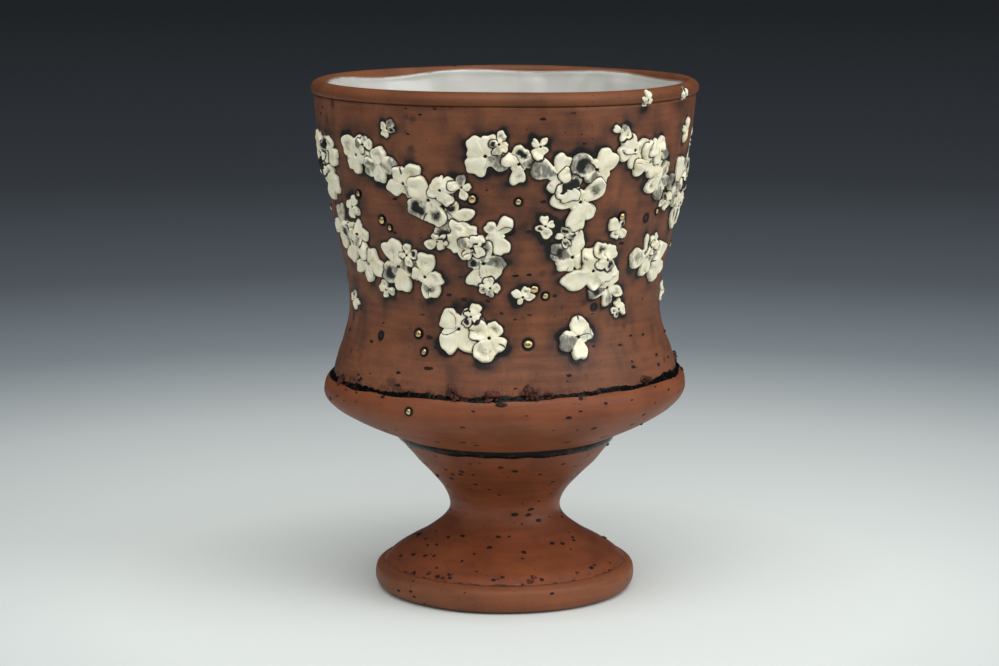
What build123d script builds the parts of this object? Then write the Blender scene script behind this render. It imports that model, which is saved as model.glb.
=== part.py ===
from build123d import *
import math
import os

# Footed stoneware cup with applied blossoms, in millimetres.
# +Z is up, the origin is the middle of the foot's underside, and -Y is the front.

# Heights of the thrown pieces, stacked from the table up
band_height = 6.7
pedestal_height = 33.1
keel_height = 16.4
wall_height = 70.3
lip_height = 3.5

# Outside radii
pedestal_rim_radius = 31.6
stem_radius = 14.1
seat_radius = 27.6
wall_foot_radius = 43.5
waist_radius = 39.4
wall_top_radius = 47.9

# How far each rounded edge stands out past the piece that carries it
band_overhang = 1.5
keel_overhang = 2.4
lip_overhang = 0.8

# Clay thicknesses, level unless they are floors
wall_thickness = 2.9
wall_foot_thickness = 6.8
stem_thickness = 4.2
seat_width = 5.4
rim_width = 4.2
bowl_floor = 4.6

# Width of the foot ring that is ground flat, and how far the bowl's inside slopes in down to its flat floor
ring_width = 2.6
floor_inset = 11.7

# Levels of the narrow and the wide places, each above the joint below it
stem_rise = 14.4
bore_rise = 11.0
keel_rise = 12.9
waist_rise = 12.8
swell_rise = 22.3

# Straight stretch of the stem, and how far the wall bows outward between its waist and its top
stem_straight = 3.0
wall_bow = 0.75

# Keel joint: the wall's tongue stands in a rebate inside the bowl's collar, and slip fills the corner above
rebate_depth = 2.8
tongue_rise = 1.4
collar_land = 1.1
collar_bevel = 0.3

# Foot joint: a straight shoulder and a straight neck make the V that the slip fills
shoulder_width = 1.5
shoulder_rise = 0.75
neck_width = 0.9
neck_drop = 1.2
slip_fill_share = 0.85

# Lip: its seat stops short of the wall's edge and leaves a groove under the roll
groove_width = 0.4
groove_rise = 0.6
lip_flare = 0.6

# Applied blossoms and lustre beads, each held by a film of slip
film_thickness = 0.04
blossom_relief = 1.0
overlaid_relief = 1.6
petal_steps = 3
petal_valley_share = 0.5
petal_fullness = 0.5
petal_variety_share = 0.09
petal_variety_step = 2.4
bead_relief = 0.7
bead_radius = 1.0
bead_sides = 6
field_foot_rise = 6.8
field_top_gap = 5.1

# How far cutting tools run past what they cut
overrun = 3.0

# Straight steps that each tight curve is turned in, which keeps the rings light
keel_steps = 4
neck_steps = 3
trumpet_steps = 4
lip_steps = 5
band_steps = 4

# Levels and radii worked out from the sizes above
bowl_level = band_height + pedestal_height
stem_level = band_height + stem_rise
bore_radius = stem_radius - stem_thickness
ring_inner_radius = pedestal_rim_radius - rim_width
foot_radius = pedestal_rim_radius + band_overhang
keel_radius = wall_foot_radius + keel_overhang
lip_radius = wall_top_radius + lip_overhang
cavity_radius = wall_foot_radius - wall_foot_thickness
seam_level = bowl_level + keel_height
wall_top = seam_level + wall_height
rim_level = wall_top + lip_height
rebate_level = seam_level - rebate_depth
tongue_top = seam_level + tongue_rise
waist_level = seam_level + waist_rise
swell_level = seam_level + swell_rise
cavity_floor = bowl_level + bowl_floor
field_foot = seam_level + field_foot_rise
field_top = wall_top - field_top_gap

# Curves between two named ends: (share of the radial span, share of the height span)
KEEL_UNDER_SHARES = [(0.415, 0.25), (0.828, 0.574), (0.978, 0.79)]
NECK_SHARES = [(0.12, 0.18), (0.45, 0.48), (0.76, 0.71)]
TRUMPET_SHARES = [(0.12, 0.22), (0.40, 0.52), (0.82, 0.82)]

# Rolled edges, in shares of the box that holds the roll: (across, up)
LIP_ROLL_SHARES = [(0.84, 0.00), (1.00, 0.40), (0.86, 0.82), (0.50, 1.04), (0.17, 0.91), (0.00, 0.68)]
BAND_ROLL_SHARES = [(0.00, 0.00), (0.72, 0.16), (1.00, 0.58), (0.60, 0.97)]

# Clusters of blossoms: (degrees round from the front, share of the field's height, pattern, width, degrees of spin)
CLUSTERS = [
    (-72.0, 0.80, "trio", 10.6, 10.0),
    (-46.0, 0.86, "pair", 9.9, 30.0),
    (-24.0, 0.70, "posy", 11.4, -12.0),
    (-2.0, 0.88, "pair", 10.2, 24.0),
    (22.0, 0.76, "trio", 12.1, 205.0),
    (48.0, 0.84, "posy", 10.4, 150.0),
    (74.0, 0.68, "trio", 10.8, 35.0),
    (-60.0, 0.48, "posy", 11.0, 95.0),
    (-34.0, 0.40, "pair", 11.0, -30.0),
    (-8.0, 0.50, "trio", 10.8, 120.0),
    (30.0, 0.40, "posy", 11.4, 62.0),
    (59.0, 0.42, "pair", 10.4, 200.0),
    (-12.0, 0.15, "pair", 11.4, 15.0),
    (26.0, 0.12, "single", 10.2, 55.0),
    (106.0, 0.80, "posy", 11.2, 20.0),
    (128.0, 0.50, "pair", 11.0, 170.0),
    (150.0, 0.84, "pair", 10.6, 65.0),
    (168.0, 0.48, "pair", 11.2, -40.0),
    (188.0, 0.80, "trio", 11.4, 100.0),
    (212.0, 0.50, "single", 10.2, 12.0),
    (224.0, 0.84, "pair", 10.8, 140.0),
    (246.0, 0.50, "pair", 11.0, 215.0),
    (262.0, 0.84, "pair", 10.4, -15.0),
    (120.0, 0.16, "single", 9.7, 25.0),
    (196.0, 0.18, "pair", 10.4, 85.0),
]

# Cluster patterns: (share of the width aside, share of the width up, share of the width across, petals, overlaid)
PATTERN_SHARES = {
    "single": [(0.0, 0.0, 1.0, 4, False)],
    "pair": [(-0.30, 0.06, 1.0, 4, False), (0.48, -0.12, 0.84, 4, True)],
    "trio": [(-0.44, 0.26, 0.94, 4, False), (0.40, 0.34, 0.80, 4, False), (0.08, -0.30, 1.0, 5, True)],
    "posy": [(-0.58, 0.34, 0.86, 4, False), (0.54, -0.40, 0.90, 5, False), (0.02, 0.02, 1.04, 4, True)],
}

# Lustre beads: (degrees round from the front, share of the field's height, share of the bead's radius)
BEADS = [
    (-84.0, 0.60, 1.0), (-53.0, 0.70, 0.8), (-43.0, 0.60, 1.1), (-40.0, 0.57, 0.7), (-10.0, 0.71, 1.1),
    (4.0, 0.70, 0.8), (10.0, 0.33, 1.1), (14.0, 0.30, 0.8), (40.0, 0.62, 1.0), (58.0, 0.62, 0.7),
    (-32.0, 0.13, 1.0), (-29.0, 0.06, 0.8), (8.0, 0.10, 1.2), (84.0, 0.44, 1.0), (112.0, 0.60, 0.9),
    (146.0, 0.60, 1.1), (181.0, 0.30, 1.0), (208.0, 0.70, 0.9), (230.0, 0.62, 1.0), (268.0, 0.60, 0.8),
]


def between(start, end, shares):
    """Points in the box between two corners, each at its shares of the radial and the height span."""
    return [(start[0] + u * (end[0] - start[0]), start[1] + v * (end[1] - start[1])) for u, v in shares]


def stepped(points, count):
    """The corners that part the smooth curve through some points into a count of equally long steps."""
    curve = Spline(*points)
    corners = [curve @ (step / count) for step in range(count + 1)]
    return [(corner.X, corner.Y) for corner in corners]


def turned(*corners):
    """The solid turned about Z from a closed outline of (radius, height) corners."""
    return revolve(Plane.XZ * Polygon(*corners, align=None), axis=Axis.Z)


def foot_band():
    """Coil rolled round the pedestal's rim, ground flat below."""
    roll_foot = (ring_inner_radius + ring_width, 0.0)
    roll = between(roll_foot, (foot_radius, band_height), BAND_ROLL_SHARES)
    return turned(
        (ring_inner_radius, 0.0),
        *stepped(roll, band_steps),
        (pedestal_rim_radius, band_height),
        (ring_inner_radius, band_height),
    )


def pedestal_outline():
    """The pedestal's outside, from its rim through the stem up to the seam under the bowl."""
    rim = (pedestal_rim_radius, band_height)
    stem_foot = (stem_radius, stem_level - stem_straight / 2)
    stem_top = (stem_radius, stem_level + stem_straight / 2)
    neck_top = (seat_radius - neck_width, bowl_level - neck_drop)
    flare = stepped([stem_foot, *between(stem_foot, rim, TRUMPET_SHARES), rim], trumpet_steps)
    neck = stepped([stem_top, *between(stem_top, neck_top, NECK_SHARES), neck_top], neck_steps)
    return flare[::-1] + neck + [(seat_radius, bowl_level)]


def pedestal():
    """Thrown trumpet, open from the foot up to the bowl's underside."""
    return turned(
        *pedestal_outline(),
        (seat_radius - seat_width, bowl_level),
        (bore_radius, stem_level + stem_straight / 2),
        (bore_radius, band_height + bore_rise),
        (ring_inner_radius, band_height),
    )


def keel_outline():
    """The bowl's outside, from the seam over the pedestal round the keel to the corner under the slip."""
    shoulder = (seat_radius + shoulder_width, bowl_level + shoulder_rise)
    nose = (keel_radius, bowl_level + keel_rise)
    collar = (wall_foot_radius + collar_land, seam_level - collar_bevel)
    under = stepped([shoulder, *between(shoulder, nose, KEEL_UNDER_SHARES), nose], keel_steps)
    return [(seat_radius, bowl_level), *under, collar]


def keel_bowl():
    """Bowl with a rounded keel, whose collar stands round the wall's foot."""
    return turned(
        (0.0, bowl_level),
        *keel_outline(),
        (wall_foot_radius, seam_level),
        (wall_foot_radius, rebate_level),
        (cavity_radius, rebate_level),
        (cavity_radius - floor_inset, cavity_floor),
        (0.0, cavity_floor),
    )


def foot_seam_slip():
    """Black slip that fills the V between the bowl's underside and the pedestal's neck."""
    seam, shoulder = keel_outline()[:2]
    neck = pedestal_outline()[-2]
    fill = [(slip_fill_share, slip_fill_share)]
    return turned(seam, *between(seam, neck, fill), *between(seam, shoulder, fill))


def keel_seam_slip():
    """Black slip pressed into the corner between the bowl's collar and the wall."""
    return turned((wall_foot_radius, seam_level), keel_outline()[-1], (wall_foot_radius, tongue_top))


def wall_outline():
    """The wall's outside, from the top of its tongue through the waist and the swell to its top edge."""
    swell = (waist_radius, swell_level)
    top = (wall_top_radius, wall_top)
    middle = ((swell[0] + top[0]) / 2 + wall_bow, (swell[1] + top[1]) / 2)
    return [(wall_foot_radius, tongue_top), (waist_radius, waist_level), swell, middle, top]


def cup_wall():
    """Waisted wall, thickest at the foot, whose straight tongue stands in the bowl's rebate."""
    return turned(
        (wall_foot_radius, rebate_level),
        *wall_outline(),
        (wall_top_radius - wall_thickness, wall_top),
        (waist_radius - wall_thickness, swell_level),
        (cavity_radius, rebate_level),
    )


def lip_band():
    """Rolled coil on the wall's top edge, undercut on the outside."""
    inner_radius = wall_top_radius - wall_thickness
    roll_foot = (inner_radius + lip_flare, wall_top + groove_rise)
    roll = between(roll_foot, (lip_radius, rim_level), LIP_ROLL_SHARES)
    return turned(
        (inner_radius, wall_top),
        (wall_top_radius - groove_width, wall_top),
        *stepped(roll, lip_steps),
    )


def wall_radius(level):
    """The radius of the wall's outer face at a level."""
    corners = wall_outline()
    low, high = next((low, high) for low, high in zip(corners, corners[1:]) if level <= high[1])
    return low[0] + (high[0] - low[0]) * (level - low[1]) / (high[1] - low[1])


def wall_face(degrees, level, reach):
    """A plane that faces out and lies a film off the wall, for a piece that reaches so far up and down from a level."""
    angle = math.radians(degrees)
    slope = (wall_radius(level + reach) - wall_radius(level - reach)) / (2 * reach)
    lean = math.atan(slope)
    middle = (wall_radius(level + reach) + wall_radius(level - reach)) / 2
    radius = max(middle, wall_radius(level)) + film_thickness
    return Plane(
        origin=(radius * math.sin(angle), -radius * math.cos(angle), level),
        x_dir=(math.cos(angle), math.sin(angle), 0.0),
        z_dir=(math.sin(angle) * math.cos(lean), -math.cos(angle) * math.cos(lean), -math.sin(lean)),
    )


def field_level(share):
    """The level at a share of the height of the field that carries blossoms and beads."""
    return field_foot + share * (field_top - field_foot)


def petal_ring(width, petals, spin):
    """A blossom's outline: rounded lobes between valleys, each petal a little longer or shorter than the last."""
    corners = []
    for step in range(petals * petal_steps):
        petal, place = divmod(step, petal_steps)
        lobe = math.sin(math.pi * place / petal_steps) ** petal_fullness
        length = 1 + petal_variety_share * math.sin(petal_variety_step * petal + spin)
        reach = width / 2 * (petal_valley_share + (length - petal_valley_share) * lobe)
        turn = math.radians(spin) + math.tau * step / (petals * petal_steps)
        corners.append((reach * math.cos(turn), reach * math.sin(turn)))
    return Polygon(*corners, align=None)


class Blossom:
    """One applied blossom: where it lies on the wall, its own solid, and the cutter that makes room for it."""

    def __init__(self, cluster, aside, up, across, petals, overlaid):
        degrees, height_share, _, width, spin = cluster
        relief = overlaid_relief if overlaid else blossom_relief
        self.width = width * across
        self.angle = degrees + math.degrees(aside * width / wall_top_radius)
        self.level = field_level(height_share) + up * width
        face = wall_face(self.angle, self.level, self.width / 2)
        ring = petal_ring(self.width, petals, spin * (1 + aside))
        self.solid = extrude(face * ring, amount=relief)
        self.cutter = extrude(face.offset(-overrun) * ring, amount=overrun + relief + overrun)

    def meets(self, other):
        """Whether another blossom is near enough to touch this one."""
        turn = (self.angle - other.angle + 180.0) % 360.0 - 180.0
        distance = math.hypot(math.radians(turn) * wall_top_radius, self.level - other.level)
        return distance < (self.width + other.width) / 2 + blossom_relief


def blossom_clusters():
    """The blossoms as one compound for each cluster; where two meet, the one laid later stays whole."""
    laid = []
    for index, cluster in enumerate(CLUSTERS):
        laid += [(index, Blossom(cluster, *petalled)) for petalled in PATTERN_SHARES[cluster[2]]]
    solids = {index: [] for index, _ in laid}
    for order, (index, blossom) in enumerate(laid):
        solid = blossom.solid
        for _, later in laid[order + 1:]:
            if blossom.meets(later):
                solid = solid - later.cutter
        solids[index] += solid.solids()
    return [Compound(children=cluster) for cluster in solids.values()]


def lustre_beads():
    """Small faceted beads that stand on the wall's face."""
    solids = []
    for degrees, height_share, share in BEADS:
        radius = bead_radius * share
        face = wall_face(degrees, field_level(height_share), radius)
        solids += extrude(face * RegularPolygon(radius, bead_sides), amount=bead_relief * share).solids()
    return Compound(children=solids)


PIECES = {
    "foot_band": foot_band,
    "pedestal": pedestal,
    "foot_seam_slip": foot_seam_slip,
    "keel_bowl": keel_bowl,
    "keel_seam_slip": keel_seam_slip,
    "cup_wall": cup_wall,
    "lip_band": lip_band,
    "lustre_beads": lustre_beads,
}

os.makedirs("parts", exist_ok=True)
for name, make in PIECES.items():
    export_step(make(), f"parts/{name}.step")
for number, cluster in enumerate(blossom_clusters(), start=1):
    export_step(cluster, f"parts/blossom_cluster_{number:02d}.step")
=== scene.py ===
import itertools
import logging
import math
from collections.abc import Callable, Sequence
from dataclasses import dataclass
from enum import Enum

import bpy
import numpy as np
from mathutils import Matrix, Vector


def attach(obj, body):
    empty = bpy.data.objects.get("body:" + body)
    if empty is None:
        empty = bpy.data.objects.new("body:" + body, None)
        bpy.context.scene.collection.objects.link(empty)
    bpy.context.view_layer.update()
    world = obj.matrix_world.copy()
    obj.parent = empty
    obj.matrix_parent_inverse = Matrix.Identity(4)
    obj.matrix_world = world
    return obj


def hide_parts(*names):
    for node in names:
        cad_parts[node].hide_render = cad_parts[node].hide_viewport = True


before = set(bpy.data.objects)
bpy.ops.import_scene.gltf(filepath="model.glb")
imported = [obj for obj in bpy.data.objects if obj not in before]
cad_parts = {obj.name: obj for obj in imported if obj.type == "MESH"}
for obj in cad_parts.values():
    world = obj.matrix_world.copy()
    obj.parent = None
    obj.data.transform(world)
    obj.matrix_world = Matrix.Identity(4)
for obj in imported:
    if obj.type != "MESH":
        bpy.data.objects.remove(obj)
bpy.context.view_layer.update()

# Footed stoneware cup with applied blossoms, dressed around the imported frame.
# Shapes are worked out in millimetres and put into the meshes in metres.
# An angle is measured round Z from the front, which is -Y, and grows towards +X.
MM = 0.001
TURN = 2 * math.pi

# The distance given to a point that no blossom or bead is near, and the steps in which a curve's span is measured
FAR = 12.0
SPAN_STEPS = 24

Array = np.ndarray
Triple = tuple[float, float, float]
Colour = Triple
Corner = tuple[float, float]
ORIGIN = (0.0, 0.0, 0.0)

log = logging.getLogger("cup")


# ---- smooth curves and fields

def soft(values: Array, low: float, high: float) -> Array:
    """A smooth rise from 0 at low to 1 at high: 3t squared less 2t cubed of the share t between them."""
    share = np.clip((values - low) / (high - low), 0.0, 1.0)
    return share * share * (3 - 2 * share)


def bell(values: Array, middle: float, width: float) -> Array:
    """A smooth bump, 1 at its middle and 1/e a width away from it."""
    return np.exp(-(((values - middle) / width) ** 2))


def wrapped(turn: Array | float) -> Array | float:
    """An angle as it is between half a turn back and half a turn on."""
    return (turn + math.pi) % TURN - math.pi


def angles_round(count: int) -> Array:
    """Angles evenly spaced round one turn, as a row."""
    return np.linspace(0, TURN, count, endpoint=False)[None, :]


def directions(turn: Array) -> Array:
    """The flat unit vector in each direction, one to a row."""
    return np.column_stack([np.cos(turn), np.sin(turn)])


def column(values: Sequence[float]) -> Array:
    """Numbers as a column, one for each row of a grid."""
    return np.array(values, dtype=float)[:, None]


def smooth_run(corners: Sequence[Corner], count: int) -> Array:
    """Evenly spaced points on the smooth curve through some corners.

    Each span is a cubic whose slope at a corner is half the step between the corner's two neighbours.

    Args:
        corners: The (radius, level) corners that the curve passes through.
        count: How many points to return, both ends among them.

    Returns:
        An array of (count, 2).
    """
    given = np.array(corners, dtype=float)
    padded = np.vstack([2 * given[0] - given[1], given, 2 * given[-1] - given[-2]])
    before, start, end, after = padded[:-3], padded[1:-2], padded[2:-1], padded[3:]
    share = np.linspace(0, 1, SPAN_STEPS, endpoint=False)[:, None, None]
    spans = 0.5 * (
        2 * start + (end - before) * share
        + (2 * before - 5 * start + 4 * end - after) * share ** 2
        + (3 * start - before - 3 * end + after) * share ** 3
    )
    dense = np.vstack([spans.transpose(1, 0, 2).reshape(-1, 2), given[-1:]])
    length = np.concatenate([[0.0], np.cumsum(np.hypot(*np.diff(dense, axis=0).T))])
    even = np.linspace(0, length[-1], count)
    return np.column_stack([np.interp(even, length, dense[:, axis]) for axis in (0, 1)])


def section(*runs: tuple[Sequence[Corner], int]) -> Array:
    """One outline of (radius, level) points from several smooth runs, each starting where the last ended."""
    made = [smooth_run(corners, count) for corners, count in runs]
    return np.vstack([run[:-1] for run in made])


class Ripple:
    """A smooth random field round the cup: a sum of cosines of whole turns and of level."""

    def __init__(self, seed: int, size: float, turns: tuple[int, int], waves_up: float, count: int = 9) -> None:
        """Draws the waves.

        Args:
            seed: Seed of the random draw.
            size: About how far the field strays from zero, in millimetres.
            turns: Fewest and most whole waves round the cup.
            waves_up: Most waves in a millimetre of height.
            count: How many cosines are added.
        """
        draw = np.random.default_rng(seed)
        self.turns = draw.integers(turns[0], turns[1] + 1, count)
        self.rises = draw.uniform(-waves_up, waves_up, count) * TURN
        self.starts = draw.uniform(0, TURN, count)
        self.sizes = size * draw.uniform(0.5, 1.0, count) / math.sqrt(count / 2)

    def at(self, angle: Array, level: Array) -> Array:
        """The field's value at each angle and level."""
        waves = zip(self.turns, self.rises, self.starts, self.sizes)
        return sum(size * np.cos(turn * angle + rise * level + start) for turn, rise, start, size in waves)


# ---- meshes

def added(name: str, data: bpy.types.ID, place: Triple = ORIGIN, turn: Triple = ORIGIN) -> bpy.types.Object:
    """A new object in the scene."""
    made = bpy.data.objects.new(name, data)
    made.location, made.rotation_euler = place, turn
    bpy.context.scene.collection.objects.link(made)
    return made


class Skin:
    """Closed shells of grid points gathered into one mesh, with a number at each point for each mark."""

    def __init__(self) -> None:
        """Starts with no shells."""
        self.points: list[Array] = []
        self.quads: list[Array] = []
        self.fans: list[Array] = []
        self.marks: dict[str, list[Array]] = {}
        self.total = 0

    def ring(self, grid: Array, **marks: Array) -> "Skin":
        """Adds a shell whose rows and columns both close on themselves, as a tyre's do."""
        rows, columns = grid.shape[:2]
        index = np.arange(rows * columns).reshape(rows, columns)
        across, up = np.roll(index, -1, axis=1), np.roll(index, -1, axis=0)
        quads = np.stack([index, across, np.roll(across, -1, axis=0), up], axis=-1).reshape(-1, 4)
        flat = {name: values.ravel() for name, values in marks.items()}
        return self._keep(grid.reshape(-1, 3), quads, np.empty((0, 3), int), flat)

    def bag(self, grid: Array, **marks: Array) -> "Skin":
        """Adds a shell whose columns close and whose first and last rows are drawn together to a point."""
        rows, columns = grid.shape[:2]
        index = 1 + np.arange((rows - 2) * columns).reshape(rows - 2, columns)
        across = np.roll(index, -1, axis=1)
        quads = np.stack([index[:-1], across[:-1], across[1:], index[1:]], axis=-1).reshape(-1, 4)
        last = index.max() + 1
        first_fan = np.stack([np.zeros(columns, int), across[0], index[0]], axis=-1)
        last_fan = np.stack([np.full(columns, last), index[-1], across[-1]], axis=-1)

        def drawn(values: Array) -> Array:
            """The rows in one list, with the first and last rows as their means."""
            inner = values[1:-1].reshape(-1, *values.shape[2:])
            return np.concatenate([values[:1].mean(axis=1), inner, values[-1:].mean(axis=1)])

        flat = {name: drawn(values) for name, values in marks.items()}
        return self._keep(drawn(grid), quads, np.vstack([first_fan, last_fan]), flat)

    def _keep(self, points: Array, quads: Array, fans: Array, marks: dict[str, Array]) -> "Skin":
        """Keeps one shell, turned so that the volume that its faces enclose is positive."""
        triangles = np.vstack([quads[:, [0, 1, 2]], quads[:, [0, 2, 3]], fans])
        one, two, three = (points[triangles[:, corner]] for corner in range(3))
        if np.einsum("ij,ij->", one, np.cross(two, three)) < 0:
            quads, fans = quads[:, ::-1], fans[:, ::-1]
        self.points.append(points)
        self.quads.append(quads + self.total)
        self.fans.append(fans + self.total)
        for name, values in marks.items():
            self.marks.setdefault(name, []).append(values)
        self.total += len(points)
        return self

    def piece(self, name: str) -> bpy.types.Object:
        """The gathered shells as one smooth-shaded object in the scene."""
        points, quads, fans = (np.vstack(part) for part in (self.points, self.quads, self.fans))
        corners = np.concatenate([quads.ravel(), fans.ravel()]).astype(np.int32)
        sizes = np.concatenate([np.full(len(quads), 4), np.full(len(fans), 3)])
        mesh = bpy.data.meshes.new(name)
        mesh.vertices.add(len(points))
        mesh.loops.add(len(corners))
        mesh.polygons.add(len(sizes))
        mesh.vertices.foreach_set("co", (points * MM).astype(np.float32).ravel())
        mesh.loops.foreach_set("vertex_index", corners)
        mesh.polygons.foreach_set("loop_start", (np.cumsum(sizes) - sizes).astype(np.int32))
        mesh.polygons.foreach_set("use_smooth", np.ones(len(sizes), bool))
        for mark, parts in self.marks.items():
            layer = mesh.attributes.new(mark, "FLOAT", "POINT")
            layer.data.foreach_set("value", np.concatenate(parts).astype(np.float32))
        mesh.update(calc_edges=True)
        return added(name, mesh)

    def settle(self, name: str, material: bpy.types.Material, slot: str, *nodes: str) -> None:
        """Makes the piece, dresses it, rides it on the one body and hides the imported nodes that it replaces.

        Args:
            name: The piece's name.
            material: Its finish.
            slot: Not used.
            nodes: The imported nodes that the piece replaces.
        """
        piece = self.piece(name)
        piece.data.materials.append(material)
        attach(piece, "root")
        if nodes:
            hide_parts(*nodes)
        piece.data.calc_loop_triangles()
        log.info("%s: %d triangles", name, len(piece.data.loop_triangles))


# ---- shader maths

def arithmetic(operation: str, swapped: bool = False) -> Callable[["Value", "Value | float"], "Value"]:
    """A method of Value that adds one Math node.

    Args:
        operation: The node's operation.
        swapped: Whether the other value comes first.

    Returns:
        The method, which takes the other value and returns the node's result.
    """
    def method(self: "Value", other: "Value | float") -> "Value":
        """Adds the node."""
        given = [other, self] if swapped else [self, other]
        return self.graph.node("ShaderNodeMath", {"operation": operation}, given)
    return method


class Value:
    """One output socket of a shader graph, on which arithmetic adds Math nodes."""

    __add__ = __radd__ = arithmetic("ADD")
    __sub__ = arithmetic("SUBTRACT")
    __rsub__ = arithmetic("SUBTRACT", swapped=True)
    __mul__ = __rmul__ = arithmetic("MULTIPLY")
    __pow__ = arithmetic("POWER")
    larger = arithmetic("MAXIMUM")

    def __init__(self, graph: "Graph", socket: bpy.types.NodeSocket) -> None:
        """Wraps a socket."""
        self.graph = graph
        self.socket = socket

    def apart(self, other: "Value | float") -> "Value":
        """How far this is from another, whichever is larger."""
        return self.graph.node("ShaderNodeMath", {"operation": "ABSOLUTE"}, [self - other])

    def rise(self, low: "Value | float", high: "Value | float") -> "Value":
        """0 below low, 1 above high and a smooth rise between; low above high gives a fall."""
        settings = {"interpolation_type": "SMOOTHSTEP"}
        return self.graph.node("ShaderNodeMapRange", settings, [self, low, high, 0.0, 1.0])


class Graph:
    """The shader graph of a material or of the world."""

    def __init__(self, name: str, kind: str = "materials") -> None:
        """Makes the graph's owner and empties its node tree."""
        self.owner = owner = getattr(bpy.data, kind).new(name)
        owner.use_nodes = True
        self.tree = owner.node_tree
        self.tree.nodes.clear()

    def node(
        self, kind: str, settings: dict | None = None, given: dict | list | None = None, output: int | str = 0
    ) -> "Value | None":
        """Adds one node.

        Args:
            kind: The node's type.
            settings: Its own settings, set first; stops are a ramp's (place, colour) pairs.
            given: Values or links for its inputs, by name or in order.
            output: Which output to return.

        Returns:
            The wrapped output socket, or nothing for a node that ends the graph.
        """
        made = self.tree.nodes.new(kind)
        for key, setting in (settings or {}).items():
            if key == "stops":
                self._ramp(made.color_ramp, setting)
            else:
                setattr(made, key, setting)
        pairs = given.items() if isinstance(given, dict) else enumerate(given or [])
        for place, entry in pairs:
            socket = made.inputs[place]
            if isinstance(entry, Value):
                self.tree.links.new(entry.socket, socket)
            elif isinstance(entry, tuple) and len(socket.default_value) == 4:
                socket.default_value = (*entry, 1.0)
            else:
                socket.default_value = entry
        return Value(self, made.outputs[output]) if len(made.outputs) else None

    @staticmethod
    def _ramp(ramp: bpy.types.ColorRamp, stops: Sequence[tuple[float, Colour]]) -> None:
        """Sets a ramp's stops."""
        while len(ramp.elements) < len(stops):
            ramp.elements.new(1.0)
        for element, (place, colour) in zip(ramp.elements, stops):
            element.position = place
            element.color = (*colour, 1.0)

    def place(self) -> Value:
        """Object coordinates in millimetres."""
        metres = self.node("ShaderNodeTexCoord", output=3)
        return self.scaled(metres, (1 / MM,) * 3)

    def scaled(self, vector: Value, scales: Triple) -> Value:
        """A vector times a scale along each axis."""
        return self.node("ShaderNodeVectorMath", {"operation": "MULTIPLY"}, [vector, scales])

    def axis(self, vector: Value, index: int) -> Value:
        """One part of a vector: 0 for X, 1 for Y and 2 for Z."""
        return self.node("ShaderNodeSeparateXYZ", given=[vector], output=index)

    def mark(self, name: str) -> Value:
        """A number kept at the mesh's points."""
        return self.node("ShaderNodeAttribute", {"attribute_name": name}, output=2)

    def noise(self, vector: Value, size: float, detail: float = 2.0, output: int = 0) -> Value:
        """Smooth noise between 0 and 1, whose lumps are about so many millimetres across."""
        scales = {"Scale": 1 / size, "Detail": detail, "Vector": vector}
        return self.node("ShaderNodeTexNoise", {"noise_dimensions": "3D"}, scales, output)

    def spots(self, vector: Value, gap: float, radius: float, share: "Value | float", edge: float) -> Value:
        """Scattered spots with ragged outlines.

        Space is parted into cells about gap across. A share of the cells hold a spot, whose radius grows with the
        cell's random number up to the given radius, and whose outline is pushed about by noise.

        Args:
            vector: Coordinates in millimetres.
            gap: About how far apart the cells' middles are.
            radius: The largest spot's radius.
            share: Share of the cells that hold a spot.
            edge: Width of the spot's soft edge.

        Returns:
            1 inside a spot and 0 outside.
        """
        push = 1.3 * radius
        noise = self.noise(vector, push, 3.0, output=1)
        pushed = self.node("ShaderNodeVectorMath", {"operation": "MULTIPLY_ADD"}, [noise, (push,) * 3, vector])
        cells = {"Scale": 1 / gap, "Vector": pushed}
        near = self.node("ShaderNodeTexVoronoi", {"feature": "F1"}, cells)
        chance = self.axis(self.node("ShaderNodeTexVoronoi", {"feature": "F1"}, cells, output=1), 0)
        least = 1 - share
        reach = (chance.rise(least, 1.0) * 0.65 + 0.35) * radius
        return (reach - near * gap).rise(-edge, edge) * chance.rise(least, least + 0.01)

    def mix(self, below: "Value | Colour", above: "Value | Colour", amount: "Value | float") -> Value:
        """A colour laid over another by an amount."""
        settings = {"data_type": "RGBA", "clamp_factor": True}
        return self.node("ShaderNodeMix", settings, {0: amount, 6: below, 7: above}, output=2)

    def finish(
        self, colour: Value, roughness: "Value | float", height: Value | None = None, **sockets: float
    ) -> bpy.types.Material:
        """Ends the graph in one principled shader.

        Args:
            colour: Its base colour.
            roughness: Its roughness.
            height: How far its surface is raised, in millimetres, which gives the normal.
            sockets: Its other sockets, with _ for a blank.

        Returns:
            The material.
        """
        named = {"Base Color": colour, "Roughness": roughness}
        named |= {name.replace("_", " "): entry for name, entry in sockets.items()}
        if height is not None:
            named["Normal"] = self.node("ShaderNodeBump", given={"Strength": 1.0, "Distance": MM, "Height": height})
        surface = self.node("ShaderNodeBsdfPrincipled", given=named)
        self.node("ShaderNodeOutputMaterial", given={"Surface": surface})
        return self.owner


def paint(red: int, green: int, blue: int) -> Colour:
    """A colour written as it shows, 0 to 255, in the linear numbers that a shader takes."""
    shown = np.array([red, green, blue]) / 255
    return tuple(float(part) for part in np.where(shown <= 0.04045, shown / 12.92, ((shown + 0.055) / 1.055) ** 2.4))


# ---- finishes

# The first colour below is black slip on the clay and, on the blossoms, black wash with painted shade; the last is the
# grey step of that wash and painted shade on the blossoms.
SOOT_AND_SHADE = paint(22, 22, 23)
SPECK = paint(30, 13, 9)
SMOKE = paint(46, 38, 34)
BLUR = paint(46, 30, 24)
FUME = paint(38, 33, 31)
WORN_SLIP = paint(70, 42, 32)
WASH = paint(74, 74, 75)
GREY_GRIME_AND_SHADE = paint(118, 112, 98)


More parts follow.
